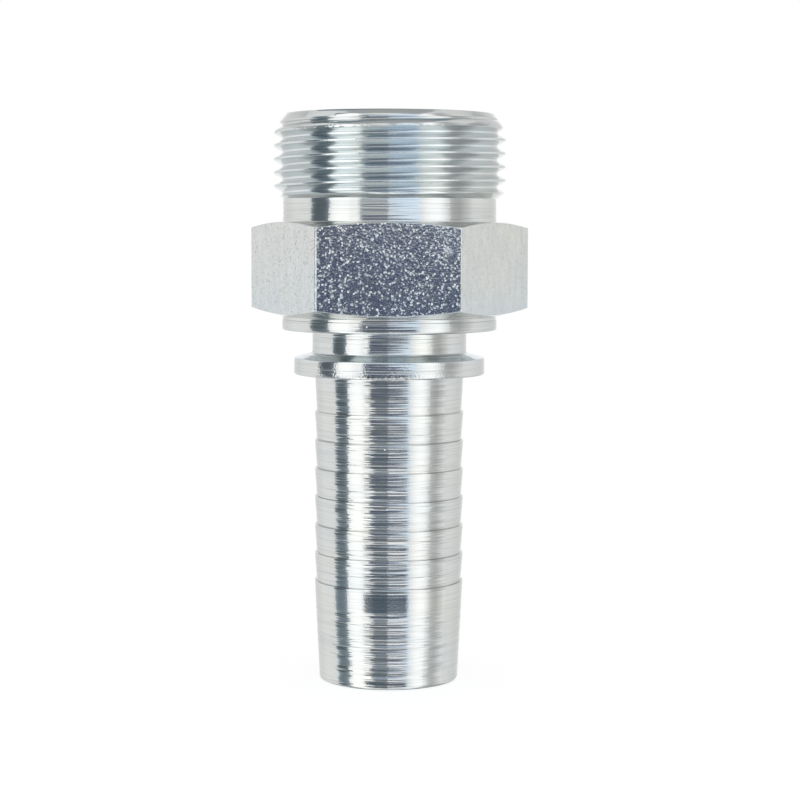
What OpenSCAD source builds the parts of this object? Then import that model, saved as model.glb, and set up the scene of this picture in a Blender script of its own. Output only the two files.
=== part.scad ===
// Hydraulic hose fitting: a one-piece turned steel stem with a male metric
// thread and 24 degree cone at one end and a barbed hose tail at the other.
// The axis is Z. The origin is the centre of the tail's end face.

/* [Hose tail] */
// Diameter over the crests of the barbs
tail_d = 16.8; // [16.6:0.05:17.1]
// Diameter at the foot of each barb
barb_root_d = 16.35; // [16:0.05:16.5]
// Number of barbs
barb_count = 7; // [3:1:9]
// Distance from one barb to the next
barb_pitch = 3.2; // [2.6:0.1:4]
// Length of the narrow land on each crest
barb_land = 0.3; // [0.1:0.05:0.5]
// Length of the smooth nose below the first barb
nose_len = 11.25; // [8:0.05:16]
// Diameter of the nose at the end face, before its edge is rounded
nose_d = 15.7; // [15.2:0.05:16.2]
// Edge radius of the nose
nose_edge_r = 0.35; // [0.1:0.05:0.5]
// Length of the taper between the last barb and the ring
tail_top_len = 4.15; // [2:0.05:6]

/* [Ring and neck] */
// Diameter of the ring that stops the hose
ring_d = 21.5; // [20:0.1:22.5]
// Width of the ring's rim
ring_w = 1.9; // [1.5:0.1:3]
// Slope of the ring's upper face
ring_slope = 15; // [8:1:20]
// Fillet radius under the ring
ring_fillet_r = 0.3; // [0.1:0.05:0.5]
// Diameter of the neck that the ferrule grips
neck_d = 17.4; // [16.8:0.1:18.2]
// Length of the neck
neck_len = 2.55; // [2:0.05:5]
// Fillet radius at both ends of the neck
neck_fillet_r = 0.4; // [0.2:0.05:0.6]

/* [Flange] */
// Diameter of the flange under the hexagon
flange_d = 24.2; // [23.4:0.1:25]
// Height of the flange
flange_h = 1.55; // [1.2:0.05:3]
// Height of the shallow groove between the flange and the hexagon
groove_h = 0.4; // [0.2:0.05:0.5]
// Depth of that groove
groove_depth = 0.07; // [0.05:0.01:0.15]
// Outer edge radius of the ring and the flange
edge_r = 0.25; // [0.1:0.05:0.4]

/* [Hexagon] */
// Width across the flats
hex_af = 27; // [26.6:0.1:28]
// Height of the hexagon
hex_h = 10.5; // [8:0.5:14]
// Slope of the turned faces above and below the hexagon
hex_bevel = 15; // [10:1:25]
// Diameter of the flat ring on top of the hexagon
hex_top_d = 26.6; // [25:0.1:26.6]

/* [Thread] */
// Outer diameter of the thread
thread_d = 26; // [25.6:0.1:26.4]
// Rise of the thread in one turn
thread_pitch = 1.5; // [1:0.25:2]
// Length from the relief to the top face
thread_len = 9.45; // [8:0.05:14]
// Angle at which the first crest leaves the top face
thread_start = 322; // [0:1:359]
// Length over which the first crests come up to full height
lead_in = 2.6; // [1.5:0.1:3.5]
// Slope of the thread's run-out above the relief groove
run_out_angle = 50; // [35:1:60]
// Diameter of the relief groove
relief_d = 24; // [23.6:0.1:24.2]
// Width of the relief groove
relief_w = 2.6; // [2:0.1:4]
// Fillet radius at the foot of the relief groove
relief_fillet_r = 0.3; // [0.1:0.05:0.5]

/* [Cone and bore] */
// Diameter of the flat top face
face_d = 23.2; // [22.6:0.1:23.4]
// Diameter of the cone at its mouth
mouth_d = 20.3; // [19.6:0.1:20.8]
// Angle between opposite sides of the cone
cone_angle = 24; // [20:1:28]
// Diameter of the tube seat at the foot of the cone
seat_d = 18; // [17.6:0.1:18.4]
// Depth of the socket from the top face to the tube stop
socket_depth = 7.5; // [7.4:0.1:9]
// Diameter of the through bore
bore_d = 12.5; // [11:0.1:13]
// Edge break at both ends of the through bore
bore_break = 0.5; // [0.2:0.05:0.6]

/* [Hidden] */

ring_z = nose_len + (barb_count - 1) * barb_pitch + tail_top_len;
ring_rise = (ring_d - neck_d) / 2 * tan(ring_slope);
neck_z = ring_z + ring_w + ring_rise;
flange_z = neck_z + neck_len;
hex_z = flange_z + flange_h;
groove_r = flange_d / 2 - groove_depth;
relief_z = hex_z + hex_h;
thread_z = relief_z + relief_w;
top_z = thread_z + thread_len;
stop_z = top_z - socket_depth;

// Thread profile: 60 degree flanks, a crest flat of an eighth of the pitch
thread_depth = 0.6134 * thread_pitch;
crest_half = thread_pitch / 16;
root_half = thread_pitch / 2 - crest_half - thread_depth * tan(30);
root_r = thread_d / 2 - thread_depth;
thread_rows = [
    [-crest_half, thread_d / 2],
    [crest_half, thread_d / 2],
    [thread_pitch / 2 - root_half, root_r],
    [thread_pitch / 2 + root_half, root_r]
];
row_count = len(thread_rows);
turns = ceil(thread_len / thread_pitch) + 2;
// Columns of points round the thread
columns = 60;
// How far the threaded rod reaches down inside the relief's own cylinder
foot_sink = 0.3;
// How far inside the relief's surface the rod's foot lies
foot_inset = 0.1;
// Height at which the run-out has opened from the relief to the thread's root
rise_z = thread_z + (root_r - relief_d / 2 + foot_inset) / tan(run_out_angle);
// Smallest step between the thread's first or last row and its end
row_gap = 0.06;
// How far each cutter reaches past the face that it opens
overshoot = 1;
// Arc steps of a rounded edge
arc_steps = 6;

// Points of an arc about [r, z] from angle a to angle b
function arc_points(r, z, radius, a, b) =
    [for (k = [0:arc_steps]) let (t = a + (b - a) * k / arc_steps)
        [r + radius * cos(t), z + radius * sin(t)]];

// Outline of the barbs: each widens upwards to its crest and ends in a ledge
function barb_points(k) = let (z = nose_len + k * barb_pitch) [
    [tail_d / 2, z - barb_land],
    [tail_d / 2, z],
    [barb_root_d / 2, z]
];

// Height of the ring's sloping upper face at radius r
function slope_z(r) = neck_z - (r - neck_d / 2) * tan(ring_slope);

// Outline of the whole stem from the nose up to the thread, without the hexagon
function stem_outline() = concat(
    [[0, 0]],
    arc_points(nose_d / 2 - nose_edge_r, nose_edge_r, nose_edge_r, -90, 0),
    [for (k = [0:barb_count - 1]) each barb_points(k)],
    arc_points(tail_d / 2 + ring_fillet_r, ring_z - ring_fillet_r, ring_fillet_r, 180, 90),
    arc_points(ring_d / 2 - edge_r, ring_z + edge_r, edge_r, -90, 0),
    arc_points(ring_d / 2 - edge_r, slope_z(ring_d / 2 - edge_r) - edge_r / cos(ring_slope), edge_r,
        0, 90 - ring_slope),
    arc_points(neck_d / 2 + neck_fillet_r,
        slope_z(neck_d / 2 + neck_fillet_r) + neck_fillet_r / cos(ring_slope), neck_fillet_r,
        270 - ring_slope, 180),
    arc_points(neck_d / 2 + neck_fillet_r, flange_z - neck_fillet_r, neck_fillet_r, 180, 90),
    arc_points(flange_d / 2 - edge_r, flange_z + edge_r, edge_r, -90, 0),
    [
        [flange_d / 2, hex_z - groove_h],
        [groove_r, hex_z - groove_h + groove_depth],
        [groove_r, hex_z + overshoot]
    ],
    [[relief_d / 2, hex_z + overshoot], [relief_d / 2, thread_z], [0, thread_z]]
);

// Height of the turned bevel at radius r, counted from a ring of radius r0
function bevel_drop(r, r0) = max(0, r - r0) * tan(hex_bevel);

// Hexagon: a prism turned to a shallow cone at the top and at the bottom
module hexagon() {
    blank_r = hex_af / 2 / cos(30) + overshoot;
    intersection() {
        translate([0, 0, hex_z])
            cylinder(d = hex_af / cos(30), h = hex_h, $fn = 6);
        rotate_extrude($fn = 120)
            polygon([
                [0, hex_z],
                [groove_r, hex_z],
                [blank_r, hex_z + bevel_drop(blank_r, groove_r)],
                [blank_r, relief_z - bevel_drop(blank_r, hex_top_d / 2)],
                [hex_top_d / 2, relief_z],
                [0, relief_z]
            ]);
    }
}

// Fillet between the top of the hexagon and the relief groove
module relief_fillet() {
    rotate_extrude($fn = 120)
        polygon(concat(
            [[0, relief_z - overshoot], [relief_d / 2 + relief_fillet_r, relief_z - overshoot]],
            arc_points(relief_d / 2 + relief_fillet_r, relief_z + relief_fillet_r, relief_fillet_r,
                270, 180),
            [[0, relief_z + relief_fillet_r]]
        ));
}

// Largest radius that the thread may have at height z: a rounded lead-in at the
// top face and a conical run-out at the relief groove
function lead_in_r(z) = z > top_z - lead_in
    ? face_d / 2 + (thread_d - face_d) / 2 * sin(90 * (top_z - z) / lead_in)
    : thread_d / 2;
function run_out_r(z) = relief_d / 2 - foot_inset + (z - thread_z) * tan(run_out_angle);
function row_r(n, z) = min(thread_rows[n % row_count][1], lead_in_r(z), run_out_r(z));

// Height of thread row n in column i
function row_z(n, i) = top_z
    + thread_pitch * (floor(n / row_count) - turns + (i / columns - thread_start / 360))
    + thread_rows[n % row_count][0];

// One column of the threaded rod: the sunk foot, the start of the root, the
// rows of the thread and the top face. Each entry is the row's number, its
// radius and its height.
function thread_column(i) = concat(
    [[-2, relief_d / 2 - foot_inset, thread_z - foot_sink]],
    [[-1, root_r, rise_z]],
    [for (n = [0:row_count * (turns + 2) - 1]) let (z = row_z(n, i))
        if (z > rise_z + row_gap && z < top_z - row_gap) [n, row_r(n, z), z]],
    [[row_count * (turns + 4), face_d / 2, top_z]]
);

// Triangles between two neighbouring columns, given as [row number, point index]
function stitch(a, b, i = 0, j = 0) =
    i == len(a) - 1 && j == len(b) - 1 ? []
    : j == len(b) - 1 || (i < len(a) - 1 && a[i + 1][0] <= b[j + 1][0])
        ? concat([[a[i][1], a[i + 1][1], b[j][1]]], stitch(a, b, i + 1, j))
        : concat([[a[i][1], b[j + 1][1], b[j][1]]], stitch(a, b, i, j + 1));

// Row numbers of a column with the index of each point. After a full turn the
// rows have climbed one pitch, so they meet the first column shifted.
function numbered(column, first, shift) =
    [for (k = [0:len(column) - 1])
        [k < 2 || k == len(column) - 1 ? column[k][0] : column[k][0] - shift, first + k]];

// Running total of the column lengths
function totals(list, k = 0, sum = 0) =
    k == len(list) ? [sum] : concat([sum], totals(list, k + 1, sum + len(list[k])));

// Right-hand thread as one solid rod with a flat foot and a flat top face
module threaded_rod() {
    grid = [for (i = [0:columns - 1]) thread_column(i)];
    first = totals(grid);
    points = [for (i = [0:columns - 1]) for (p = grid[i])
        [p[1] * cos(360 * i / columns), p[1] * sin(360 * i / columns), p[2]]];
    sides = [for (i = [0:columns - 1]) let (next = (i + 1) % columns)
        each stitch(
            numbered(grid[i], first[i], 0),
            numbered(grid[next], first[next], next == 0 ? row_count : 0)
        )];
    foot = [for (i = [0:columns - 1]) first[i]];
    head = [for (i = [columns - 1:-1:0]) first[i + 1] - 1];
    polyhedron(points = points, faces = concat(sides, [foot, head]), convexity = 10);
}

// Everything that is bored out: edge break, through bore, tube stop, tube seat
// and the 24 degree cone that opens at the top face
module bore() {
    cone_slope = tan(cone_angle / 2);
    cone_foot_z = top_z - (mouth_d - seat_d) / 2 / cone_slope;
    rotate_extrude($fn = 120)
        polygon([
            [0, -overshoot],
            [bore_d / 2 + bore_break + overshoot, -overshoot],
            [bore_d / 2, bore_break],
            [bore_d / 2, stop_z - bore_break],
            [bore_d / 2 + bore_break, stop_z],
            [seat_d / 2, stop_z],
            [seat_d / 2, cone_foot_z],
            [mouth_d / 2 + overshoot * cone_slope, top_z + overshoot],
            [0, top_z + overshoot]
        ]);
}

// The stem is one turned piece
module hose_stem() {
    color("lightgray")
    difference() {
        union() {
            rotate_extrude($fn = 120)
                polygon(stem_outline());
            hexagon();
            relief_fillet();
            threaded_rod();
        }
        bore();
    }
}

hose_stem();
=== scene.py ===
# %% [markdown]
# A hose fitting is turned from one bar of hexagon steel and zinc plated. Its
# CAD model holds the true sizes, and this notebook dresses it: a fine mesh, a
# plated finish and a small studio. It works in the CAD model's own frame, so
# that the look and the solid stay one object. Sizes are written in millimetres,
# and times MM they are Blender's metres.

# %% The frame
import math

import bpy
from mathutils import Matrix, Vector


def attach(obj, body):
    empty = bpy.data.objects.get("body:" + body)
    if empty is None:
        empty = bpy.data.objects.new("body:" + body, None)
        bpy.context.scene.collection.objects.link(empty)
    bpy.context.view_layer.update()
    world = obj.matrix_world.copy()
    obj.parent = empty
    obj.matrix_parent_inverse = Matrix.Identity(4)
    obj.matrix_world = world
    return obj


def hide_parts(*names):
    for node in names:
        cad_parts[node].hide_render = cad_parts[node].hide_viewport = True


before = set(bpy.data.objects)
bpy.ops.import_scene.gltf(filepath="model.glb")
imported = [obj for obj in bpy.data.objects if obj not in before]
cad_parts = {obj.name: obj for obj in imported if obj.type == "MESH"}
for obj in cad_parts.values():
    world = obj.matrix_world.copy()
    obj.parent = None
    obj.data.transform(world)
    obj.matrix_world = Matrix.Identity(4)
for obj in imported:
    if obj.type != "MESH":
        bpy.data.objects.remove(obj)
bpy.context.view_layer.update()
MM = 0.001

# %% [markdown]
# The camera stands level with the upper part of the hexagon and looks slightly
# down. How much the lower rims curve gives its distance, about 245 mm, and the
# width of the fitting in the picture then gives the lens. It stands a little to
# the right, because the front flat doesn't quite face it.

# %% The camera
CAMERA_AWAY, CAMERA_SIDE, CAMERA_UP = 245.23, 2.4, 50.7
CAMERA_LENS = 97.9
# Clip distances are in metres.
CAMERA_CLIP = (0.01, 20)
CAMERA_DOWN, CAMERA_RIGHT, CAMERA_TWIST = 4.445, -0.29, -0.19


def make_camera():
    data = bpy.data.cameras.new("camera")
    data.lens = CAMERA_LENS
    data.clip_start, data.clip_end = CAMERA_CLIP
    camera = bpy.data.objects.new("camera", data)
    bpy.context.scene.collection.objects.link(camera)
    camera.location = Vector((CAMERA_SIDE, -CAMERA_AWAY, CAMERA_UP)) * MM
    turns = (90 - CAMERA_DOWN, CAMERA_TWIST, -CAMERA_RIGHT)
    camera.rotation_euler = [math.radians(turn) for turn in turns]
    bpy.context.scene.camera = camera
    return camera


camera = make_camera()
print("camera at", [round(v / MM, 1) for v in camera.location], "mm")

# %% [markdown]
# No turned edge is razor sharp, since the tip of the tool leaves a radius. An
# outline here is a list of corners, each with its distance from the axis, its
# height and its edge radius, and one helper turns every corner into a short
# curve. A bevel modifier could do it too, but it can't give each edge its own
# radius as simply.

# %% Rounded outlines
SMALL_R, BROAD_R, LONGEST_CUT = 0.12, 0.3, 0.45


def curve_steps(radius):
    """Larger radii get more points."""
    return 2 if radius < SMALL_R else 3 if radius < BROAD_R else 5


def rounded(corners):
    """Points of an outline of (r, z, edge radius), each corner a short curve."""
    points = []
    for k, (r, z, radius) in enumerate(corners):
        here = Vector((r, z))
        if radius == 0 or k in (0, len(corners) - 1):
            points.append(here)
            continue
        back = Vector(corners[k - 1][:2]) - here
        ahead = Vector(corners[k + 1][:2]) - here
        half_turn = (math.pi - back.angle(ahead)) / 2
        room = LONGEST_CUT * min(back.length, ahead.length)
        cut = min(radius * math.tan(half_turn), room)
        start, end = here + back.normalized() * cut, here + ahead.normalized() * cut
        steps = curve_steps(radius)
        for n in range(steps + 1):
            t = n / steps
            points.append(start * (1 - t) ** 2 + here * (2 * t * (1 - t)) + end * t ** 2)
    return points


print("a rounded corner has", len(rounded([(0, 0, 0), (1, 0, 0.2), (1, 1, 0)])) - 2, "points")

# %% [markdown]
# The tail is the part that the hose is pushed over. A plain nose guides the
# hose, and seven barbs hold it: each rises slowly from a small root and drops
# in a sharp ledge that faces the thread, so the hose slides on and can't
# slide off. A loop writes the barbs, as a lathe repeats one cut.

# %% The tail's outline
TAIL_D, BARB_ROOT_D = 16.8, 16.35
BARB_COUNT, BARB_PITCH, BARB_LAND = 7, 3.2, 0.3
NOSE_LEN, NOSE_D, NOSE_EDGE_R = 11.25, 15.7, 0.35
BORE_D, BORE_BREAK = 12.5, 0.5
TAIL_TOP_LEN = 4.15
BARB_EDGE_R, FINE_EDGE_R = 0.06, 0.05


def tail_corners():
    corners = [
        (BORE_D / 2 + BORE_BREAK, 0, 0),
        (NOSE_D / 2, 0, NOSE_EDGE_R),
    ]
    for k in range(BARB_COUNT):
        ledge = NOSE_LEN + k * BARB_PITCH
        corners += [
            (TAIL_D / 2, ledge - BARB_LAND, BARB_EDGE_R),
            (TAIL_D / 2, ledge, BARB_EDGE_R),
            (BARB_ROOT_D / 2, ledge, FINE_EDGE_R),
        ]
    return corners


print("tail has", len(tail_corners()), "corners")

# %% [markdown]
# Above the tail sit a ring, a neck and a flange. A crimped ferrule is held
# between the ring and the flange, so the neck has soft corners that don't
# start a crack. The ring's upper face slopes, and a fine groove parts the
# flange from the hexagon.

# %% The ring, the neck and the flange
RING_D, RING_W, RING_SLOPE, RING_FILLET_R = 21.5, 1.9, math.radians(15), 0.3
NECK_D, NECK_LEN, NECK_FILLET_R = 17.4, 2.55, 0.4
FLANGE_D, FLANGE_H, EDGE_R = 24.2, 1.55, 0.25
GROOVE_H, GROOVE_DEPTH, GROOVE_CORNER_R = 0.4, 0.07, 0.1

RING_Z = NOSE_LEN + (BARB_COUNT - 1) * BARB_PITCH + TAIL_TOP_LEN
NECK_Z = RING_Z + RING_W + (RING_D - NECK_D) / 2 * math.tan(RING_SLOPE)
FLANGE_Z = NECK_Z + NECK_LEN
HEX_Z = FLANGE_Z + FLANGE_H
GROOVE_R = FLANGE_D / 2 - GROOVE_DEPTH


def collar_corners():
    return [
        (TAIL_D / 2, RING_Z, RING_FILLET_R),
        (RING_D / 2, RING_Z, EDGE_R),
        (RING_D / 2, RING_Z + RING_W, EDGE_R),
        (NECK_D / 2, NECK_Z, NECK_FILLET_R),
        (NECK_D / 2, FLANGE_Z, NECK_FILLET_R),
        (FLANGE_D / 2, FLANGE_Z, EDGE_R),
        (FLANGE_D / 2, HEX_Z - GROOVE_H, FINE_EDGE_R),
        (GROOVE_R, HEX_Z - GROOVE_H + GROOVE_DEPTH, FINE_EDGE_R),
        (GROOVE_R, HEX_Z, GROOVE_CORNER_R),
    ]


print("ring, neck, flange, hexagon at", *(round(z, 2) for z in (RING_Z, NECK_Z, FLANGE_Z, HEX_Z)))

# %% [markdown]
# The hexagon is the bar itself, 27 mm across its flats, with its ends turned
# back to a shallow cone so that a spanner finds it. One formula gives the
# distance from the axis to a flat in any direction, so the flats and the
# cones share the grid of the turned parts and need no cutting. The two front
# corners are rounded more and less than the others, as in the picture.

# %% The hexagon's outline
HEX_AF, HEX_H, HEX_TOP_D = 27.0, 10.5, 26.6
HEX_CONE, HEX_RIM_R = math.radians(15), 0.1
HEX_CORNER_RS = (0.25, 0.25, 0.25, 0.25, 0.45, 0.2)
SECTOR = math.radians(60)
RELIEF_Z = HEX_Z + HEX_H


def hex_radius(angle):
    """Distance from the axis to the hexagon, with its corners rounded."""
    corner = round(angle / SECTOR)
    off_corner = angle - corner * SECTOR
    corner_r = HEX_CORNER_RS[corner % 6]
    flat = HEX_AF / 2 / math.cos(SECTOR / 2 - abs(off_corner))
    centre = (HEX_AF / 2 - corner_r) / math.cos(SECTOR / 2)
    inside = corner_r ** 2 - (centre * math.sin(off_corner)) ** 2
    if inside <= 0:
        return flat
    return min(flat, centre * math.cos(off_corner) + math.sqrt(inside))


def hex_corners(angle):
    r = hex_radius(angle)
    slope = math.tan(HEX_CONE)
    return [
        (r, HEX_Z + (r - GROOVE_R) * slope, HEX_RIM_R),
        (r, RELIEF_Z - (r - HEX_TOP_D / 2) * slope, HEX_RIM_R),
        (HEX_TOP_D / 2, RELIEF_Z, FINE_EDGE_R),
    ]


print("hexagon across corners", round(2 * hex_radius(0), 2), "mm")

# %% [markdown]
# Under the thread the bar is turned down to the relief groove, where the
# thread tool runs out. Its wall keeps the tool's short steps, which tilt it
# upwards a little: that is why it looks paler than the smooth neck.

# %% The relief groove
RELIEF_D, RELIEF_W, RELIEF_FILLET_R = 24.0, 2.6, 0.3
RELIEF_STEPS, RELIEF_STEP_CUT, RELIEF_STEP_END = 4, 0.055, 0.97
THREAD_Z = RELIEF_Z + RELIEF_W


def relief_corners():
    corners = [(RELIEF_D / 2, RELIEF_Z, RELIEF_FILLET_R)]
    first = RELIEF_Z + RELIEF_FILLET_R
    height = (THREAD_Z - first) / RELIEF_STEPS
    for k in range(RELIEF_STEPS):
        end = first + (k + RELIEF_STEP_END) * height
        corners.append((RELIEF_D / 2, first + k * height, 0))
        corners.append((RELIEF_D / 2 - RELIEF_STEP_CUT, end, 0))
    return corners + [(RELIEF_D / 2, THREAD_Z, 0)]


def body_outline(angle):
    below = tail_corners() + collar_corners()
    return rounded(below + hex_corners(angle) + relief_corners())


print("the body's outline has", len(body_outline(0)), "points")

# %% [markdown]
# A lathe cuts the thread as one helix, so a crest climbs by one pitch in a
# turn. Rows of points that follow the helix keep each crest crisp, which rows
# at fixed heights can't, and a screw modifier can't fade its ends. Here the
# crest fades into the face over a rounded lead-in and into the relief groove
# over a short cone: a point is never further out than those two allow. Crests
# and roots have the small radius of a worn tool. The two faces of a groove
# mirror each other, and at a little over 30 degrees they show the light and
# dark bands of the picture.

# %% The thread's rows
THREAD_D, THREAD_PITCH, THREAD_LEN = 26.0, 1.5, 9.45
FLANK_TILT = math.radians(30.9)
THREAD_START, LEAD_IN, RUN_OUT = math.radians(322), 2.6, math.radians(50)
FACE_D, CREST_EDGE_R, ROOT_EDGE_R = 23.2, 0.12, 0.13
DEPTH_SHARE, CREST_SHARE = 0.6134, 1 / 8
ROW_GAP, RUN_OUT_LIFT = 0.02, 0.02

THREAD_DEPTH = DEPTH_SHARE * THREAD_PITCH
CREST_HALF = CREST_SHARE * THREAD_PITCH / 2
FLANK_RISE = THREAD_DEPTH * math.tan(FLANK_TILT)
TOP_Z = THREAD_Z + THREAD_LEN
TURNS = math.ceil(THREAD_LEN / THREAD_PITCH) + 2


def thread_pitch_rows():
    """One pitch of the thread's outline, as (height, radius) from root to root."""
    half, crest, root = THREAD_PITCH / 2, THREAD_D / 2, THREAD_D / 2 - THREAD_DEPTH
    foot, middle = CREST_HALF + FLANK_RISE, CREST_HALF + FLANK_RISE / 2
    corners = [
        (root, -half, 0), (root, -foot, ROOT_EDGE_R), (root + THREAD_DEPTH / 2, -middle, 0),
        (crest, -CREST_HALF, CREST_EDGE_R), (crest, CREST_HALF, CREST_EDGE_R),
        (root + THREAD_DEPTH / 2, middle, 0), (root, foot, ROOT_EDGE_R), (root, half, 0),
    ]
    return [(point.y, point.x) for point in rounded(corners)][:-1]


PITCH_ROWS = thread_pitch_rows()


def thread_limit(z):
    """The largest radius at a height, from the lead-in and the run-out."""
    limit = THREAD_D / 2
    if z > TOP_Z - LEAD_IN:
        rise = (THREAD_D - FACE_D) / 2
        limit = FACE_D / 2 + rise * math.sin(math.pi / 2 * (TOP_Z - z) / LEAD_IN)
    return min(limit, RELIEF_D / 2 + RUN_OUT_LIFT + (z - THREAD_Z) * math.tan(RUN_OUT))


def thread_column(angle):
    """The thread's points in one direction, as (row number, radius, height)."""
    climb = (angle - THREAD_START) / math.tau - TURNS
    column = []
    for n in range(len(PITCH_ROWS) * (TURNS + 2)):
        up, r = PITCH_ROWS[n % len(PITCH_ROWS)]
        z = TOP_Z + THREAD_PITCH * (n // len(PITCH_ROWS) + climb) + up
        if THREAD_Z + ROW_GAP < z < TOP_Z - ROW_GAP:
            column.append((n, min(r, thread_limit(z)), z))
    return column


print("one pitch has", len(PITCH_ROWS), "rows, one direction", len(thread_column(0)), "points")

# %% [markdown]
# The inside is what a tube of the other side plugs into: a mouth, a cone of
# 24 degrees that a ring seals against, a seat for the tube and its stop, and
# then the bore that the oil flows through. It is hidden in the picture, so it
# is finished plainly.

# %% The inside's outline
MOUTH_D, CONE_HALF_ANGLE, SEAT_D, SOCKET_DEPTH = 20.3, math.radians(12), 18.0, 7.5
SOCKET_EDGE_R, CONE_FOOT_R = 0.12, 0.1
STOP_Z = TOP_Z - SOCKET_DEPTH


def inner_corners():
    cone_foot = TOP_Z - (MOUTH_D - SEAT_D) / 2 / math.tan(CONE_HALF_ANGLE)
    return [
        (FACE_D / 2, TOP_Z, 0),
        (MOUTH_D / 2, TOP_Z, SOCKET_EDGE_R),
        (SEAT_D / 2, cone_foot, CONE_FOOT_R),
        (SEAT_D / 2, STOP_Z, SOCKET_EDGE_R),
        (BORE_D / 2 + BORE_BREAK, STOP_Z, FINE_EDGE_R),
        (BORE_D / 2, STOP_Z - BORE_BREAK, FINE_EDGE_R),
        (BORE_D / 2, BORE_BREAK, FINE_EDGE_R),
        (BORE_D / 2 + BORE_BREAK, 0, 0),
    ]


inner_outline = rounded(inner_corners())[:-1]
print("the inside's outline has", len(inner_outline), "points")

# %% [markdown]
# The piece is one closed skin of three parts that share their edges: the body
# below the thread, the thread, and the inside. The directions are even, with
# a few more beside each corner of the hexagon, so that its rounding is smooth.

# %% The directions
EVEN_COLUMNS = 264
CORNER_SHARES = (-1.7, -1.0, -0.66, -0.33, 0.0, 0.33, 0.66, 1.0, 1.7)
# The least gap between two directions is in radians.
COLUMN_GAP = 0.007


def column_angles():
    even = [math.tau * k / EVEN_COLUMNS for k in range(EVEN_COLUMNS)]
    beside = []
    for corner, corner_r in enumerate(HEX_CORNER_RS):
        reach = corner_r * math.sin(SECTOR / 2) / (HEX_AF / 2 / math.cos(SECTOR / 2))
        beside += [(corner * SECTOR + share * reach) % math.tau for share in CORNER_SHARES]
    clear = [a for a in even if min(abs(a - b) for b in beside + [math.tau]) > COLUMN_GAP]
    return sorted(clear + beside)


print("columns of points round the axis:", len(column_angles()))

# %% [markdown]
# Between two directions the body and the inside are plain bands of quads. The
# rows of the thread climb, so one column can start or end a row before its
# neighbour, and triangles zip the two together by their row numbers. After a
# whole turn each row has climbed by one pitch.

# %% The skin
FIRST_ROW, LAST_ROW = -100, 10000


class Skin:
    """Points and faces that are gathered before they become a mesh."""

    def __init__(self):
        self.points, self.faces = [], []

    def column(self, angle, outline):
        first = len(self.points)
        x, y = math.cos(angle) * MM, math.sin(angle) * MM
        self.points += [(r * x, r * y, z * MM) for r, z in outline]
        return list(range(first, len(self.points)))

    def band(self, left, right):
        """Quads between two columns that have the same rows."""
        for k in range(len(left) - 1):
            self.faces.append((left[k], right[k], right[k + 1], left[k + 1]))

    def zip_up(self, left, right):
        """Triangles between two columns of the helix, as (row number, point)."""
        i = j = 0
        while i < len(left) - 1 or j < len(right) - 1:
            left_done, right_done = i == len(left) - 1, j == len(right) - 1
            if right_done or (not left_done and left[i + 1][0] <= right[j + 1][0]):
                self.faces.append((left[i][1], right[j][1], left[i + 1][1]))
                i += 1
            else:
                self.faces.append((left[i][1], right[j][1], right[j + 1][1]))
                j += 1


def thread_strip(skin, angle, foot, rim):
    """The helix's rows between the body's last point and the face's rim."""
    rows = thread_column(angle)
    points = skin.column(angle, [row[1:] for row in rows])
    middle = [(row[0], point) for row, point in zip(rows, points)]
    return [(FIRST_ROW, foot)] + middle + [(LAST_ROW, rim)]


def one_turn_on(strip):
    """The same strip after a whole turn, when each row is a pitch higher."""
    middle = [(n - len(PITCH_ROWS), point) for n, point in strip[1:-1]]
    return [strip[0]] + middle + [strip[-1]]


def stem_skin():
    skin, columns = Skin(), []
    for angle in column_angles():
        body = skin.column(angle, body_outline(angle))
        inside = skin.column(angle, inner_outline) + [body[0]]
        columns.append((body, thread_strip(skin, angle, body[-1], inside[0]), inside))
    body, thread, inside = columns[0]
    columns.append((body, one_turn_on(thread), inside))
    for left, right in zip(columns, columns[1:]):
        skin.band(left[0], right[0])
        skin.zip_up(left[1], right[1])
        skin.band(left[2], right[2])
    return skin


skin = stem_skin()
print("skin of", len(skin.points), "points and", len(skin.faces), "faces")

# %% [markdown]
# Smooth shading with weighted normals keeps the broad faces flat and lets only
# the small radii bend the light, as on the metal. The skin stands for the CAD
# solid, which stays hidden behind it.

# %% The stem
SHARP_ANGLE = math.radians(50)


def make_stem():
    mesh = bpy.data.meshes.new("turned_stem")
    mesh.from_pydata(skin.points, [], skin.faces)
    mesh.validate()
    mesh.shade_smooth()
    mesh.set_sharp_from_angle(angle=SHARP_ANGLE)
    stem = bpy.data.objects.new("turned_stem", mesh)
    bpy.context.scene.collection.objects.link(stem)
    weighted = stem.modifiers.new("weighted normals", "WEIGHTED_NORMAL")
    weighted.keep_sharp = True
    return stem


stem = make_stem()
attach(stem, "root")
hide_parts("hose_stem")
print("stem has", sum(len(p.vertices) - 2 for p in stem.data.polygons), "triangles")

# %% [markdown]
# Every finish below is a small graph of nodes. These helpers add a node with
# its inputs in one line, where an input is a number or another node's output.

# %% Node helpers
WHITE = (1, 1, 1, 1)


def connect(tree, socket, value):
    if isinstance(value, bpy.types.NodeSocket):
        tree.links.new(value, socket)
    else:
        socket.default_value = value


def node(tree, kind, inputs=None, **settings):
    made = tree.nodes.new("ShaderNode" + kind)
    for name, value in settings.items():
        setattr(made, name, value)
    for name, value in (inputs or {}).items():
        connect(tree, made.inputs[name], value)
    return made


def maths(tree, operation, *values):
    return node(tree, "Math", dict(enumerate(values)), operation=operation).outputs[0]


def added(tree, total, *others):
    for value in others:
        total = maths(tree, "ADD", total, value)
    return total


def product(tree, total, *others):
    for value in others:
        total = maths(tree, "MULTIPLY", total, value)
    return total


def times(tree, colour, *others):
    """A colour or a place, times other colours, tones or numbers."""
    for value in others:
        inputs = {0: colour, 1: value}
        colour = node(tree, "VectorMath", inputs, operation="MULTIPLY").outputs[0]
    return colour


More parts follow.
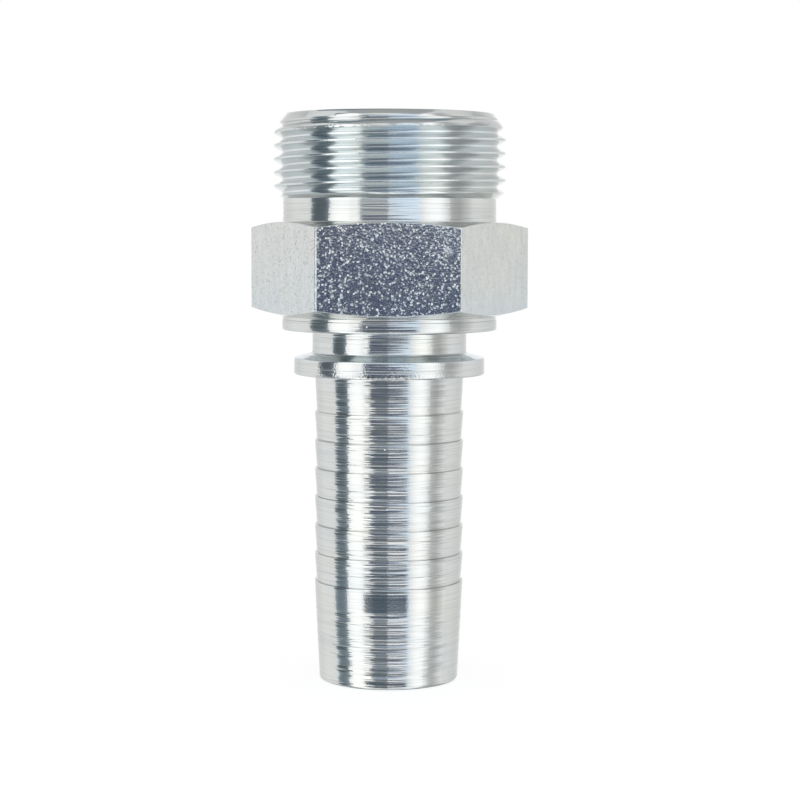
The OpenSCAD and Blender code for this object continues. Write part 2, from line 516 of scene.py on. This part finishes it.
def new_material(name):
    material = bpy.data.materials.new(name)
    material.use_nodes = True
    material.node_tree.nodes.clear()
    return material, material.node_tree


print("node helpers ready")

# %% [markdown]
# Most looks come from two things: a table that says how a tone changes with a
# height, a direction or a noise, and the noise itself. A table is a colour ramp
# whose stops are written in the units of what it follows.

# %% Tables and noises
def mix_colours(tree, share, first, second):
    mixed = node(tree, "Mix", data_type="RGBA", clamp_factor=True)
    connect(tree, mixed.inputs[0], share)
    connect(tree, mixed.inputs[6], first)
    connect(tree, mixed.inputs[7], second)
    return mixed.outputs[2]


def fade(tree, value, start, end, first=0.0, last=1.0):
    """From the first number at the start to the last one at the end."""
    inputs = {"Value": value, "From Min": start, "From Max": end, "To Min": first, "To Max": last}
    return node(tree, "MapRange", inputs).outputs[0]


def ramp(tree, value, stops, low=0.0, high=1.0):
    """A smooth table: (place, tone or colour) stops between low and high."""
    table = node(tree, "ValToRGB", {0: fade(tree, value, low, high)})
    elements = table.color_ramp.elements
    while len(elements) < len(stops):
        elements.new(1.0)
    for element, (place, tone) in zip(elements, stops):
        element.position = (place - low) / (high - low)
        colour = tone if isinstance(tone, tuple) else (tone, tone, tone)
        element.color = (*colour, 1)
    return table.outputs[0]


def whole_ramp(tree, value, stops):
    """A ramp from its own first stop to its last."""
    return ramp(tree, value, stops, stops[0][0], stops[-1][0])


def noise(tree, spot, scale, detail=1, rough=0.5):
    inputs = {"Vector": spot, "Scale": scale, "Detail": detail, "Roughness": rough}
    return node(tree, "TexNoise", inputs).outputs[0]


print("tables and noises ready")

# %% [markdown]
# A finish has to know where on the fitting it is. Places are worked out once in
# millimetres, with the distance from the axis and the direction round it, so
# that a table by height can say how each turned part differs.

# %% Places on the fitting
TABLE_TOP = 64


def scaled(tree, vector, factor):
    inputs = {0: vector, "Scale": factor}
    return node(tree, "VectorMath", inputs, operation="SCALE").outputs[0]


def stem_place(tree):
    """The place on the stem in mm, its x, y, z, and its distance from the axis."""
    place = scaled(tree, node(tree, "TexCoord").outputs["Object"], 1 / MM)
    x, y, z = node(tree, "SeparateXYZ", {0: place}).outputs
    flat = node(tree, "CombineXYZ", {"X": x, "Y": y}).outputs[0]
    radius = node(tree, "VectorMath", {0: flat}, operation="LENGTH").outputs["Value"]
    return place, (x, y, z), radius


def direction(tree, x, y):
    """Degrees round the axis, counted from the front to the right."""
    return maths(tree, "DEGREES", maths(tree, "ARCTAN2", x, product(tree, y, -1.0)))


def distance(tree, place, spot):
    return node(tree, "VectorMath", {0: place, 1: spot}, operation="DISTANCE").outputs["Value"]


def between(tree, value, low, high):
    """One between two numbers, else zero."""
    above, below = maths(tree, "GREATER_THAN", value, low), maths(tree, "LESS_THAN", value, high)
    return product(tree, above, below)


def by_height(tree, z, stops):
    return ramp(tree, z, stops, 0, TABLE_TOP)


print("tables by height reach from 0 to", TABLE_TOP, "mm")

# %% [markdown]
# The lathe's tool leaves lines that run round the axis. A noise gives them,
# in a space that changes fast along the outline and slowly round it: fine
# lines, wider waves, and now and then a deeper cut. A painted texture would
# look the same from every side, and this doesn't.

# %% The tool's lines
LINE_SCALE, LINE_DEPTH, LINE_ROUGH = 3.6, 0.07, 0.45
WAVE_SCALE, WAVE_DEPTH = 1.0, 0.13
CUT_SCALE, CUT_DEPTH, CUTS = 2.6, 0.028, ((0.6, 0.0), (0.68, 1.0))
LINE_DRIFT, LINE_OUTWARD = 0.02, 0.83


def line_place(tree, parts, radius):
    """A place that changes fast along the outline and slowly round the axis."""
    x, y, z = parts
    along = maths(tree, "MULTIPLY_ADD", radius, LINE_OUTWARD, z)
    across_x, across_y = (product(tree, part, LINE_DRIFT) for part in (x, y))
    return node(tree, "CombineXYZ", {"X": across_x, "Y": across_y, "Z": along}).outputs[0]


def turning_lines(tree, spot):
    """Heights in mm of the lines that the tool left."""
    lines = product(tree, noise(tree, spot, LINE_SCALE, rough=LINE_ROUGH), LINE_DEPTH)
    waves = product(tree, noise(tree, spot, WAVE_SCALE, detail=0), WAVE_DEPTH)
    cuts = ramp(tree, noise(tree, spot, CUT_SCALE, detail=0), CUTS)
    return added(tree, lines, waves, product(tree, cuts, -CUT_DEPTH))


print("one line in about", round(1 / LINE_SCALE, 2), "mm")

# %% [markdown]
# Handling leaves marks too. The crests of the thread have small nicks, which a
# noise places on the outermost tenths of a millimetre only. The three larger
# knocks that the picture shows are dents at named places.

# %% Nicks and knocks
NICKED_FROM, NICKED_TO, NICK_DEPTH, NICK_SCALE = 12.75, 12.92, 0.12, 4.0
NICKED_SCALE, NICKED_ROUGH, NICKED = 1.3, 0.6, ((0.46, 0.0), (0.58, 1.0))
KNOCK_DEPTH = 0.6
# A knock: degrees right of the front, distance from the axis, height and size.
KNOCKS = ((-2.6, 8.35, 26.8, 0.1), (-0.8, 8.35, 20.2, 0.1), (-11.3, 12.1, 40.4, 0.13))


def crest_nicks(tree, place, z, radius):
    """Heights in mm of small knocks on the crests of the thread."""
    on_crest = fade(tree, radius, NICKED_FROM, NICKED_TO)
    stretches = noise(tree, place, NICKED_SCALE, detail=2, rough=NICKED_ROUGH)
    on_thread = maths(tree, "GREATER_THAN", z, THREAD_Z)
    share = product(tree, on_crest, ramp(tree, stretches, NICKED), on_thread)
    return product(tree, share, product(tree, noise(tree, place, NICK_SCALE), NICK_DEPTH))


def knocks(tree, place):
    """Heights in mm of the few knocks that the picture shows on the turned parts."""
    dents = []
    for turn, r, z, size in KNOCKS:
        a = math.radians(turn)
        gap = distance(tree, place, (r * math.sin(a), -r * math.cos(a), z))
        dents.append(fade(tree, gap, 0.0, size, -KNOCK_DEPTH * size, 0.0))
    return added(tree, *dents)


print(len(KNOCKS), "knocks placed")

# %% [markdown]
# The plating itself is uneven. Its colour wanders between a warmer and a cooler
# grey, and a few brownish specks sit on the ring's lower front edge. Painted
# shade darkens it in the corner above each barb and towards the crests of the
# thread. Each of these is a colour that the plating's own is multiplied with.

# %% Tones of the plating and painted shade
ZINC_WARM, ZINC_COOL = (0.775, 0.79, 0.76), (0.745, 0.775, 0.775)
ZINC_SCALE, ZINC = 0.16, ((0.35, ZINC_WARM), (0.65, ZINC_COOL))
# Painted shade: the plating's colour is darker just above each barb's ledge.
LEDGE_PAINTED_SHADE = ((0.0, 0.72), (0.08, 0.82), (0.17, 1.0))
LEDGES_FROM, LEDGES_TO = NOSE_LEN - 0.01, RING_Z - 3.5
# Painted shade: darker towards the crests of the thread, a little paler at the roots.
THREAD_PAINTED_SHADE = ((12.0, 1.02), (12.5, 1.0), (12.9, (0.92, 0.935, 0.95)), (12.96, 1.0))
SHADE_IN, SHADE_OUT = 12, 13
SHADED_FROM, SHADED_TO = THREAD_Z + 0.6, TOP_Z - 2.2
RUST, RUST_SCALE, RUST_SPOTS = (0.5, 0.44, 0.38), 2.6, ((0.56, 0.0), (0.64, 1.0))
RUST_TURNS = ((-180, 0), (-18, 0), (-13, 1), (12, 1), (17, 0), (180, 0))
RUST_HEIGHTS = ((0, 0), (34.5, 0.0), (34.65, 1.0), (34.95, 1.0), (35.1, 0.0))


def plating_colour(tree, place):
    return ramp(tree, noise(tree, place, ZINC_SCALE, detail=2), ZINC)


def painted_ledge_shade(tree, z):
    """One, and less in the corner above each barb: painted shade in the plating's colour."""
    above = maths(tree, "MODULO", maths(tree, "SUBTRACT", z, NOSE_LEN), BARB_PITCH)
    on_tail = between(tree, z, LEDGES_FROM, LEDGES_TO)
    return mix_colours(tree, on_tail, WHITE, ramp(tree, above, LEDGE_PAINTED_SHADE))


def painted_thread_shade(tree, z, radius):
    """Painted shade: darker towards the crests of the thread."""
    flank = ramp(tree, radius, THREAD_PAINTED_SHADE, SHADE_IN, SHADE_OUT)
    return mix_colours(tree, between(tree, z, SHADED_FROM, SHADED_TO), WHITE, flank)


def rust_specks(tree, place, parts):
    """One, and less in the small specks along the lower front edge of the ring."""
    x, y, z = parts
    spots = ramp(tree, noise(tree, place, RUST_SCALE), RUST_SPOTS)
    front = whole_ramp(tree, direction(tree, x, y), RUST_TURNS)
    share = product(tree, by_height(tree, z, RUST_HEIGHTS), spots, front)
    return mix_colours(tree, share, WHITE, (*RUST, 1))


# The count is of the corners above the barbs that get painted shade.
print("the plating is duller in", BARB_COUNT, "corners above the barbs")

# %% [markdown]
# Plating has hardly a colour of its own: it shows the room, drawn out across
# the lines that the tool has left. A reflection smears along the axis and stays
# sharp round it, which is an anisotropic gloss turned a quarter from the radial
# tangent. Bumps add the lines that are wide enough to see, at a strength that a
# table gives by height: strong on the tail, faint on the nose's smooth band and
# on the thread.

# %% Turned and plated steel
LINE_STRENGTHS = (
    (0.0, 0.95), (8.5, 0.95), (8.7, 0.06), (10.7, 0.06), (10.9, 1.0), (34.2, 0.9),
    (34.7, 0.95), (36.3, 0.9), (36.9, 0.9), (39.3, 0.9), (39.8, 0.38), (41.0, 0.38),
    (52.0, 0.65), (54.0, 0.65), (54.4, 0.1), (61.3, 0.1), (61.8, 0.6), (64.0, 0.6),
)
GLOSS = ((0.0, 0.12), (54.0, 0.12), (54.6, 0.14), (64.0, 0.14))
SMEAR, QUARTER_TURN = 0.7, 0.25
# Painted reflection: the base colour by height is bluer on the ring's sloping face, paler and bluer
# on the thread and darker on the top rim, for what they mirror.
PAINTED_REFLECTION_TONES = (
    (0.0, 0.833), (36.35, 0.833), (36.5, (0.83, 0.88, 0.93)), (37.0, (0.83, 0.88, 0.93)),
    (37.15, 0.833), (53.8, 0.833), (54.6, (0.88, 0.9, 0.915)), (61.3, (0.88, 0.9, 0.915)),
    (62.2, 0.8), (64.0, 0.8),
)
GRAIN_SCALE = 4.5
GRAIN = (
    (0.0, 0.003), (8.6, 0.003), (8.7, 0.005), (10.7, 0.005), (10.8, 0.003), (34.3, 0.003),
    (34.6, 0.03), (34.95, 0.03), (35.1, 0.013), (36.6, 0.012), (37.0, 0.005), (39.5, 0.005),
    (41.0, 0.003), (54.0, 0.003), (54.5, 0.001), (64.0, 0.001),
)
DULL_SCALE, DULL_ROUGH, DULL = 5.0, 0.6, ((0.38, 0.92), (0.52, 1.0))


def turned_colour(tree, place, parts, radius, lines):
    z = parts[2]
    dull = ramp(tree, noise(tree, lines, DULL_SCALE, rough=DULL_ROUGH), DULL)
    return times(
        tree, plating_colour(tree, place), painted_ledge_shade(tree, z), by_height(tree, z, PAINTED_REFLECTION_TONES),
        rust_specks(tree, place, parts), dull, painted_thread_shade(tree, z, radius))


def turned_bumps(tree, place, z, radius, lines):
    """The lines and marks, and on top of them the plating's fine grain."""
    marks = added(tree, turning_lines(tree, lines), crest_nicks(tree, place, z, radius),
                  knocks(tree, place))
    grain = product(tree, noise(tree, place, GRAIN_SCALE), by_height(tree, z, GRAIN))
    strength = by_height(tree, z, LINE_STRENGTHS)
    cut = node(tree, "Bump", {"Height": marks, "Strength": strength, "Distance": MM})
    return node(tree, "Bump", {"Height": grain, "Distance": MM, "Normal": cut.outputs[0]})


def turned_zinc():
    material, tree = new_material("turned zinc plating")
    place, parts, radius = stem_place(tree)
    lines = line_place(tree, parts, radius)
    tangent = node(tree, "Tangent", direction_type="RADIAL", axis="Z")
    shader = node(tree, "BsdfPrincipled", {
        "Base Color": turned_colour(tree, place, parts, radius, lines), "Metallic": 1,
        "Roughness": by_height(tree, parts[2], GLOSS),
        "Anisotropic": SMEAR, "Anisotropic Rotation": QUARTER_TURN,
        "Normal": turned_bumps(tree, place, parts[2], radius, lines).outputs[0],
        "Tangent": tangent.outputs[0],
    })
    node(tree, "OutputMaterial", {"Surface": shader.outputs[0]})
    return material


stem.data.materials.append(turned_zinc())
print("finish:", stem.data.materials[0].name)

# %% [markdown]
# The flats are the skin of the drawn bar, which the lathe never touched. Acid
# dips before plating leave it finely pitted, so a flat that faces something
# dark sparkles with small pale specks, and one that faces something pale looks
# plain. Each pit is a cell of a Voronoi pattern pulled down to a small bowl,
# and a noise bends the bowls so that no two are alike.

# %% The pits
PIT_SCALE, PIT_DEPTH, PIT_LEAST, PIT_SPREAD = 3.0, 0.043, 0.4, 0.9
PIT_BOWL = ((0.0, 0.0), (0.05, 0.04), (0.35, 0.96), (0.4, 1.0))
BEND_SCALE, PIT_BEND = 2.2, 0.4
GROUND_SCALE, GROUND_DEPTH = 4.2, 0.015
SCUFF_PLACE, SCUFF_R, SCUFF_DEPTH = (6.3, -13.5, 48.3), 0.7, 0.08
SCUFF_SCALE, SCUFF_ROUGH = 3.6, 0.6


def scuff(tree, place):
    """Heights in mm of the one pale scuff on the front flat."""
    share = fade(tree, distance(tree, place, SCUFF_PLACE), 0.0, SCUFF_R, 1.0, 0.0)
    rough = noise(tree, place, SCUFF_SCALE, detail=2, rough=SCUFF_ROUGH)
    return product(tree, share, product(tree, rough, SCUFF_DEPTH))


def pit_heights(tree, place):
    """Heights in mm: bowls of many depths on a finely grained ground."""
    bend = node(tree, "TexNoise", {"Vector": place, "Scale": BEND_SCALE, "Detail": 0})
    shift = scaled(tree, bend.outputs["Color"], PIT_BEND)
    bent = node(tree, "VectorMath", {0: place, 1: shift}, operation="ADD").outputs[0]
    cells = node(tree, "TexVoronoi", {"Vector": bent, "Scale": PIT_SCALE}).outputs
    luck = node(tree, "SeparateXYZ", {0: cells["Color"]}).outputs[0]
    depth = product(tree, maths(tree, "MULTIPLY_ADD", luck, PIT_SPREAD, PIT_LEAST), PIT_DEPTH)
    pits = product(tree, whole_ramp(tree, cells["Distance"], PIT_BOWL), depth)
    grain = product(tree, noise(tree, place, GROUND_SCALE), GROUND_DEPTH)
    return added(tree, pits, grain, scuff(tree, place))


print("one pit in about", round(1 / PIT_SCALE, 2), "mm")

# %% [markdown]
# The pitted finish is a plain gloss without a direction. A slow mottle, drawn
# out along the axis, keeps the broad flats from looking like paint, and a
# painted reflection tint makes them a little cooler near their lower edge.
# Faces between the hexagon's ends that stand upright get this finish, and all
# others the turned one.

# %% The pitted flats
FLAT_GLOSS, UPRIGHT = 0.1, 0.5
# Painted reflection tint: bluer at the flats' lower edge, warmer at the top.
FLAT_REFLECTION_TINTS = ((41.0, (0.79, 0.83, 0.87)), (44.5, (0.82, 0.83, 0.84)), (51.6, (0.835, 0.83, 0.82)))
MOTTLE_SCALE, MOTTLE_ROUGH, MOTTLE = 1.1, 0.55, ((0.35, 0.97), (0.65, 1.03))
MOTTLE_STRETCH = (1.0, 1.0, 0.3)


def flat_zinc():
    material, tree = new_material("pitted zinc plating")
    place, parts = stem_place(tree)[:2]
    bump = node(tree, "Bump", {"Height": pit_heights(tree, place), "Distance": MM})
    drawn_out = times(tree, place, MOTTLE_STRETCH)
    mottle = ramp(tree, noise(tree, drawn_out, MOTTLE_SCALE, detail=2, rough=MOTTLE_ROUGH), MOTTLE)
    reflection_tints = whole_ramp(tree, parts[2], FLAT_REFLECTION_TINTS)
    shader = node(tree, "BsdfPrincipled", {
        "Base Color": times(tree, plating_colour(tree, place), mottle, reflection_tints),
        "Metallic": 1, "Roughness": FLAT_GLOSS, "Normal": bump.outputs[0]})
    node(tree, "OutputMaterial", {"Surface": shader.outputs[0]})
    return material


def is_flat(face):
    on_hexagon = HEX_Z < face.center.z / MM < RELIEF_Z
    return on_hexagon and abs(face.normal.z) < UPRIGHT


stem.data.materials.append(flat_zinc())
for face in stem.data.polygons:
    face.material_index = 1 if is_flat(face) else 0
print("flats have", sum(face.material_index for face in stem.data.polygons), "faces")

# %% [markdown]
# The room is white all round, and the floor is white where it is seen, with a
# soft shadow under the fitting. Only what the camera and the metal see is at
# full white: the light that falls on the floor is lower, so the shadow shows.
# The metal doesn't mirror the floor, which would hide the cards' lower half.

# %% The white room
AMBIENT = 0.55
FLOOR_PAINT, FLOOR_GLOW, FLOOR_REACH = 0.5, 0.74, 2000


def seen_directly(tree):
    """One for camera, mirror and see-through rays, else zero."""
    rays = node(tree, "LightPath").outputs
    seen = maths(tree, "MAXIMUM", rays["Is Camera Ray"], rays["Is Glossy Ray"])
    return maths(tree, "MAXIMUM", seen, rays["Is Transmission Ray"])


def make_world():
    world = bpy.data.worlds.new("white_room")
    world.use_nodes = True
    bpy.context.scene.world = world
    tree = world.node_tree
    tree.nodes.clear()
    level = maths(tree, "MAXIMUM", seen_directly(tree), AMBIENT)
    shade = node(tree, "Background", {"Color": WHITE, "Strength": level})
    node(tree, "OutputWorld", {"Surface": shade.outputs[0]})


def sheet(name, side, near, far, height):
    """A level sheet from side to side and from its near edge to its far one."""
    corners = [(-side, near, height), (side, near, height), (side, far, height), (-side, far, height)]
    mesh = bpy.data.meshes.new(name)
    mesh.from_pydata([Vector(corner) * MM for corner in corners], [], [(0, 1, 2, 3)])
    thing = bpy.data.objects.new(name, mesh)
    bpy.context.scene.collection.objects.link(thing)
    return thing


def make_floor():
    floor = sheet("floor", FLOOR_REACH, -FLOOR_REACH, FLOOR_REACH, 0)
    material, tree = new_material("white floor")
    paint = node(tree, "BsdfDiffuse", {"Color": (FLOOR_PAINT, FLOOR_PAINT, FLOOR_PAINT, 1)})
    level = product(tree, seen_directly(tree), FLOOR_GLOW)
    glow = node(tree, "Emission", {"Color": WHITE, "Strength": level})
    both = node(tree, "AddShader", {0: paint.outputs[0], 1: glow.outputs[0]})
    node(tree, "OutputMaterial", {"Surface": both.outputs[0]})
    floor.data.materials.append(material)
    floor.visible_glossy = False
    return floor


make_world()
floor = make_floor()
print("white room and floor ready")

# %% [markdown]
# Bright metal needs something dark to mirror, or its round form is lost. So
# upright cards stand all round but for the back. Each is a piece of a cylinder
# that glows by itself, with a tone that a small function gives. The camera
# doesn't see the cards, and they light only what mirrors them.

# %% Making a card
CARD_AWAY, CARD_LOW, CARD_HIGH, CARD_TURN = 380, -700, 700, 3.0
CARD_GLOW = 2.0


def card_place(tree):
    """Direction in degrees, right of the camera's side, and height in mm."""
    x, y, z = node(tree, "SeparateXYZ", {0: node(tree, "TexCoord").outputs["Object"]}).outputs
    return direction(tree, x, y), maths(tree, "DIVIDE", z, MM)


def card_mesh(name, start, end, away, low, high):
    turns = max(1, round((end - start) / CARD_TURN))
    points, faces = [], []
    for k in range(turns + 1):
        a = math.radians(start + (end - start) * k / turns)
        x, y = away * math.sin(a) * MM, -away * math.cos(a) * MM
        points += [(x, y, low * MM), (x, y, high * MM)]
    for k in range(turns):
        faces.append((2 * k, 2 * k + 2, 2 * k + 3, 2 * k + 1))
    mesh = bpy.data.meshes.new(name)
    mesh.from_pydata(points, [], faces)
    return mesh


def only_mirrored(thing):
    """Seen in the metal only: the camera misses it, and it casts no shadow."""
    thing.visible_camera = False
    thing.visible_diffuse = False
    thing.visible_shadow = False


def glow_material(name, shade, strength):
    material, tree = new_material(name)
    glow = node(tree, "Emission", {"Color": shade(tree), "Strength": strength})
    node(tree, "OutputMaterial", {"Surface": glow.outputs[0]})
    return material


def make_card(name, start, end, shade, away=CARD_AWAY, low=CARD_LOW, high=CARD_HIGH):
    """A curved card between two directions, lit by what shade(tree) returns."""
    card = bpy.data.objects.new(name, card_mesh(name, start, end, away, low, high))
    bpy.context.scene.collection.objects.link(card)
    card.data.materials.append(glow_material(name, shade, CARD_GLOW))
    only_mirrored(card)


print("a card spans", CARD_HIGH - CARD_LOW, "mm in height")

# %% [markdown]
# To the left and the right stand a soft box, a dark flag beyond it and a pale
# grey card that reaches towards the back. A card's tone changes along it, as
# soft light does, and a tone of 0.5 is as white as the room. The flags are a
# little paler below the floor's level, where the tail mirrors them.

# %% The side cards
LEFT_GREY = ((-162, 0.42), (-143, 0.44), (-120, 0.525), (-97, 0.53), (-91.5, 0.49))
LEFT_BLACK = ((-91.5, 0.3), (-89.5, 0.13), (-84, 0.08), (-74, 0.085), (-68, 0.125), (-66.5, 0.22))
LEFT_BOX = ((-66.5, 0.66), (-60, 0.74), (-52, 0.8), (-42, 0.76))
RIGHT_BOX = ((33, 0.58), (40, 0.7), (46, 0.77), (54, 0.78), (60, 0.67), (67, 0.5))
RIGHT_GREY = ((67, 0.38), (73, 0.31), (80, 0.29), (86, 0.365), (92, 0.42), (99, 0.51))
FAR_RIGHT_GREY = ((99, 0.51), (112, 0.505), (125, 0.465), (141, 0.42), (162, 0.42))
BLACK_TINT, BLACK_FOOT = (0.83, 1.0, 1.14), 1.75
GREY_TINT, GREY_FOOT = (0.95, 0.95, 0.95), 1.2
PALER_FROM, PALER_TO = -20.0, -50.0


def side_card(name, stops, tint=(1, 1, 1), foot=1.0, **size):
    """A card toned by direction, with a tint, and foot times as pale below the floor."""
    def shade(tree):
        around, height = card_place(tree)
        paler = fade(tree, height, PALER_FROM, PALER_TO, 1.0, foot)
        return times(tree, whole_ramp(tree, around, stops), tint, paler)
    make_card(name, stops[0][0], stops[-1][0], shade, **size)


side_card("pale_card_left", LEFT_GREY)
side_card("black_flag_left", LEFT_BLACK, BLACK_TINT, BLACK_FOOT)
side_card("soft_box_left", LEFT_BOX)
side_card("soft_box_right", RIGHT_BOX)
side_card("grey_flag_right", RIGHT_GREY, GREY_TINT, GREY_FOOT)
side_card("pale_card_right", FAR_RIGHT_GREY)
print("side cards ready")

# %% [markdown]
# The two dark cards beside the camera are the ones that the middle of the
# fitting mirrors. They are darkest just below eye level and in a second band
# lower down, which the smooth band of the nose shows, and paler above, between
# and below. So each turned line, which tips the mirror up or down, shows as a
# light or dark streak.

# %% The dark cards
LEFT_END, FRONT_SEAM, RIGHT_END = -42, -1.0, 33
DARK_LOW, DARK_HIGH = -560, 560
DARK_LEFT = (
    (-560, (0.4, 0.4, 0.41)), (-300, (0.3, 0.31, 0.33)), (-150, (0.21, 0.22, 0.235)),
    (-108, (0.07, 0.09, 0.11)), (-90, (0.03, 0.052, 0.072)), (-66, (0.035, 0.055, 0.075)),
    (-52, (0.055, 0.075, 0.1)), (-43, (0.2, 0.2, 0.205)), (-20, (0.12, 0.13, 0.14)),
    (15, (0.055, 0.07, 0.095)), (38, (0.04, 0.05, 0.1)), (60, (0.08, 0.09, 0.14)),
    (100, (0.25, 0.265, 0.28)), (140, (0.27, 0.285, 0.3)), (180, (0.42, 0.43, 0.44)),
    (560, (0.6, 0.6, 0.6)),
)
DARK_RIGHT = (
    (-560, (0.8, 0.8, 0.8)), (-260, (0.78, 0.78, 0.78)), (-140, (0.58, 0.58, 0.6)),
    (-108, (0.12, 0.14, 0.16)), (-92, (0.03, 0.053, 0.08)), (-62, (0.035, 0.055, 0.085)),
    (-51, (0.055, 0.075, 0.11)), (-42, (0.37, 0.36, 0.37)), (-18, (0.15, 0.16, 0.18)),
    (20, (0.055, 0.068, 0.1)), (38, (0.03, 0.042, 0.095)), (52, (0.055, 0.068, 0.13)),
    (78, (0.38, 0.4, 0.43)), (120, (0.47, 0.49, 0.53)), (560, (0.8, 0.8, 0.8)),
)
FOOT, FOOT_REACH = ((-130, 0.0), (-100, 1.0), (-60, 1.0), (-30, 0.0)), 12.0
EDGE_LEFT, EDGE_FADE, EDGE_LEAN, PALE_GREY = -26.5, 4.0, 0.025, (0.7, 0.7, 0.7)
SLANT, SLANT_FROM, SLANT_TO = 0.23, 18.0, 36.0
RIM_FROM, RIM_TO, PALE_BLUE = 27.0, 33.0, (0.53, 0.6, 0.68)


def dark_left(tree):
    """Dark up to a pale grey edge on the left, which moves out near the foot."""
    around, height = card_place(tree)
    level = whole_ramp(tree, height, DARK_LEFT)
    foot = ramp(tree, height, FOOT, DARK_LOW, DARK_HIGH)
    edge = maths(tree, "MULTIPLY_ADD", foot, FOOT_REACH, around)
    edge = maths(tree, "MULTIPLY_ADD", height, EDGE_LEAN, edge)
    side = fade(tree, edge, EDGE_LEFT, EDGE_LEFT - EDGE_FADE)
    return mix_colours(tree, side, level, (*PALE_GREY, 1))


def dark_right(tree):
    """Dark up to a pale blue edge on the right, which slants in towards the top."""
    around, height = card_place(tree)
    level = whole_ramp(tree, height, DARK_RIGHT)
    slant = maths(tree, "MULTIPLY_ADD", height, SLANT, around)
    side = fade(tree, slant, SLANT_FROM, SLANT_TO)
    share = maths(tree, "MAXIMUM", side, fade(tree, around, RIM_FROM, RIM_TO))
    return mix_colours(tree, share, level, (*PALE_BLUE, 1))


make_card("dark_card_left", LEFT_END, FRONT_SEAM, dark_left)
make_card("dark_card_right", FRONT_SEAM, RIGHT_END, dark_right)
print("dark cards ready")

# %% [markdown]
# Two strips stand a little before the cards, one high up and one low down:
# slate before the dark cards, bright before the soft boxes and grey beyond
# them. The rounded roots of the thread mirror them, which deepens the narrow
# dark line in each groove.

# %% The strips
STRIP_AWAY = 370
STRIP_HEIGHTS = {"high_strip": (225, 360), "low_strip": (-420, -235)}
STRIP_LEFT = (
    (-162, 0.43), (-138, 0.42), (-120, 0.28), (-92, 0.28), (-90, (0.12, 0.145, 0.16)),
    (-68, (0.12, 0.145, 0.16)), (-66, 1.0), (-34, 1.0),
)
STRIP_MIDDLES = {
    "high_strip": (
        (-29, (0.25, 0.33, 0.39)), (1, (0.25, 0.33, 0.4)), (9, (0.32, 0.39, 0.5)),
        (31, (0.37, 0.44, 0.56)),
    ),
    "low_strip": (
        (-29, (0.16, 0.21, 0.27)), (12, (0.18, 0.23, 0.32)), (24, (0.26, 0.32, 0.43)),
        (31, (0.36, 0.43, 0.53)),
    ),
}
STRIP_RIGHT = (
    (35, 0.72), (60, 0.72), (67, 0.36), (86, 0.26), (100, 0.27), (120, 0.28), (138, 0.4),
    (162, 0.42),
)

for name, (low, high) in STRIP_HEIGHTS.items():
    stops = STRIP_LEFT + STRIP_MIDDLES[name] + STRIP_RIGHT
    side_card(name, stops, away=STRIP_AWAY, low=low, high=high)
print("strips ready")

# %% [markdown]
# Two slate sheets lie far above and far below, behind the fitting. The sloping
# faces of the ring and the hexagon mirror them, which parts them clearly from
# the upright faces. A grey sheet right above the fitting does the same for the
# rounded lead-in of the thread, which mirrors what is overhead.

# %% The level sheets
SHEET_SIDE, SHEET_NEAR, SHEET_SEAM, SHEET_FAR = 130, -150, 60, 1500
SHEET_HIGH, SHEET_LOW, SHEET_GLOW = 330, -300, 1.0
SLATE_TONE, OVERHEAD_TONE = (0.22, 0.31, 0.36), (0.52, 0.525, 0.53)


def level_sheet(name, height, near, far, tone):
    made = sheet(name, SHEET_SIDE, near, far, height)
    made.data.materials.append(glow_material(name, lambda tree: (*tone, 1), SHEET_GLOW))
    only_mirrored(made)


level_sheet("slate_above", SHEET_HIGH, SHEET_SEAM, SHEET_FAR, SLATE_TONE)
level_sheet("slate_below", SHEET_LOW, SHEET_SEAM, SHEET_FAR, SLATE_TONE)
level_sheet("grey_overhead", SHEET_HIGH, SHEET_NEAR, SHEET_SEAM, OVERHEAD_TONE)
print("level sheets ready")

# %% [markdown]
# The view is set to plain colours, so that a tone renders as it is written.

# %% Finish
bpy.context.scene.view_settings.view_transform = "Standard"
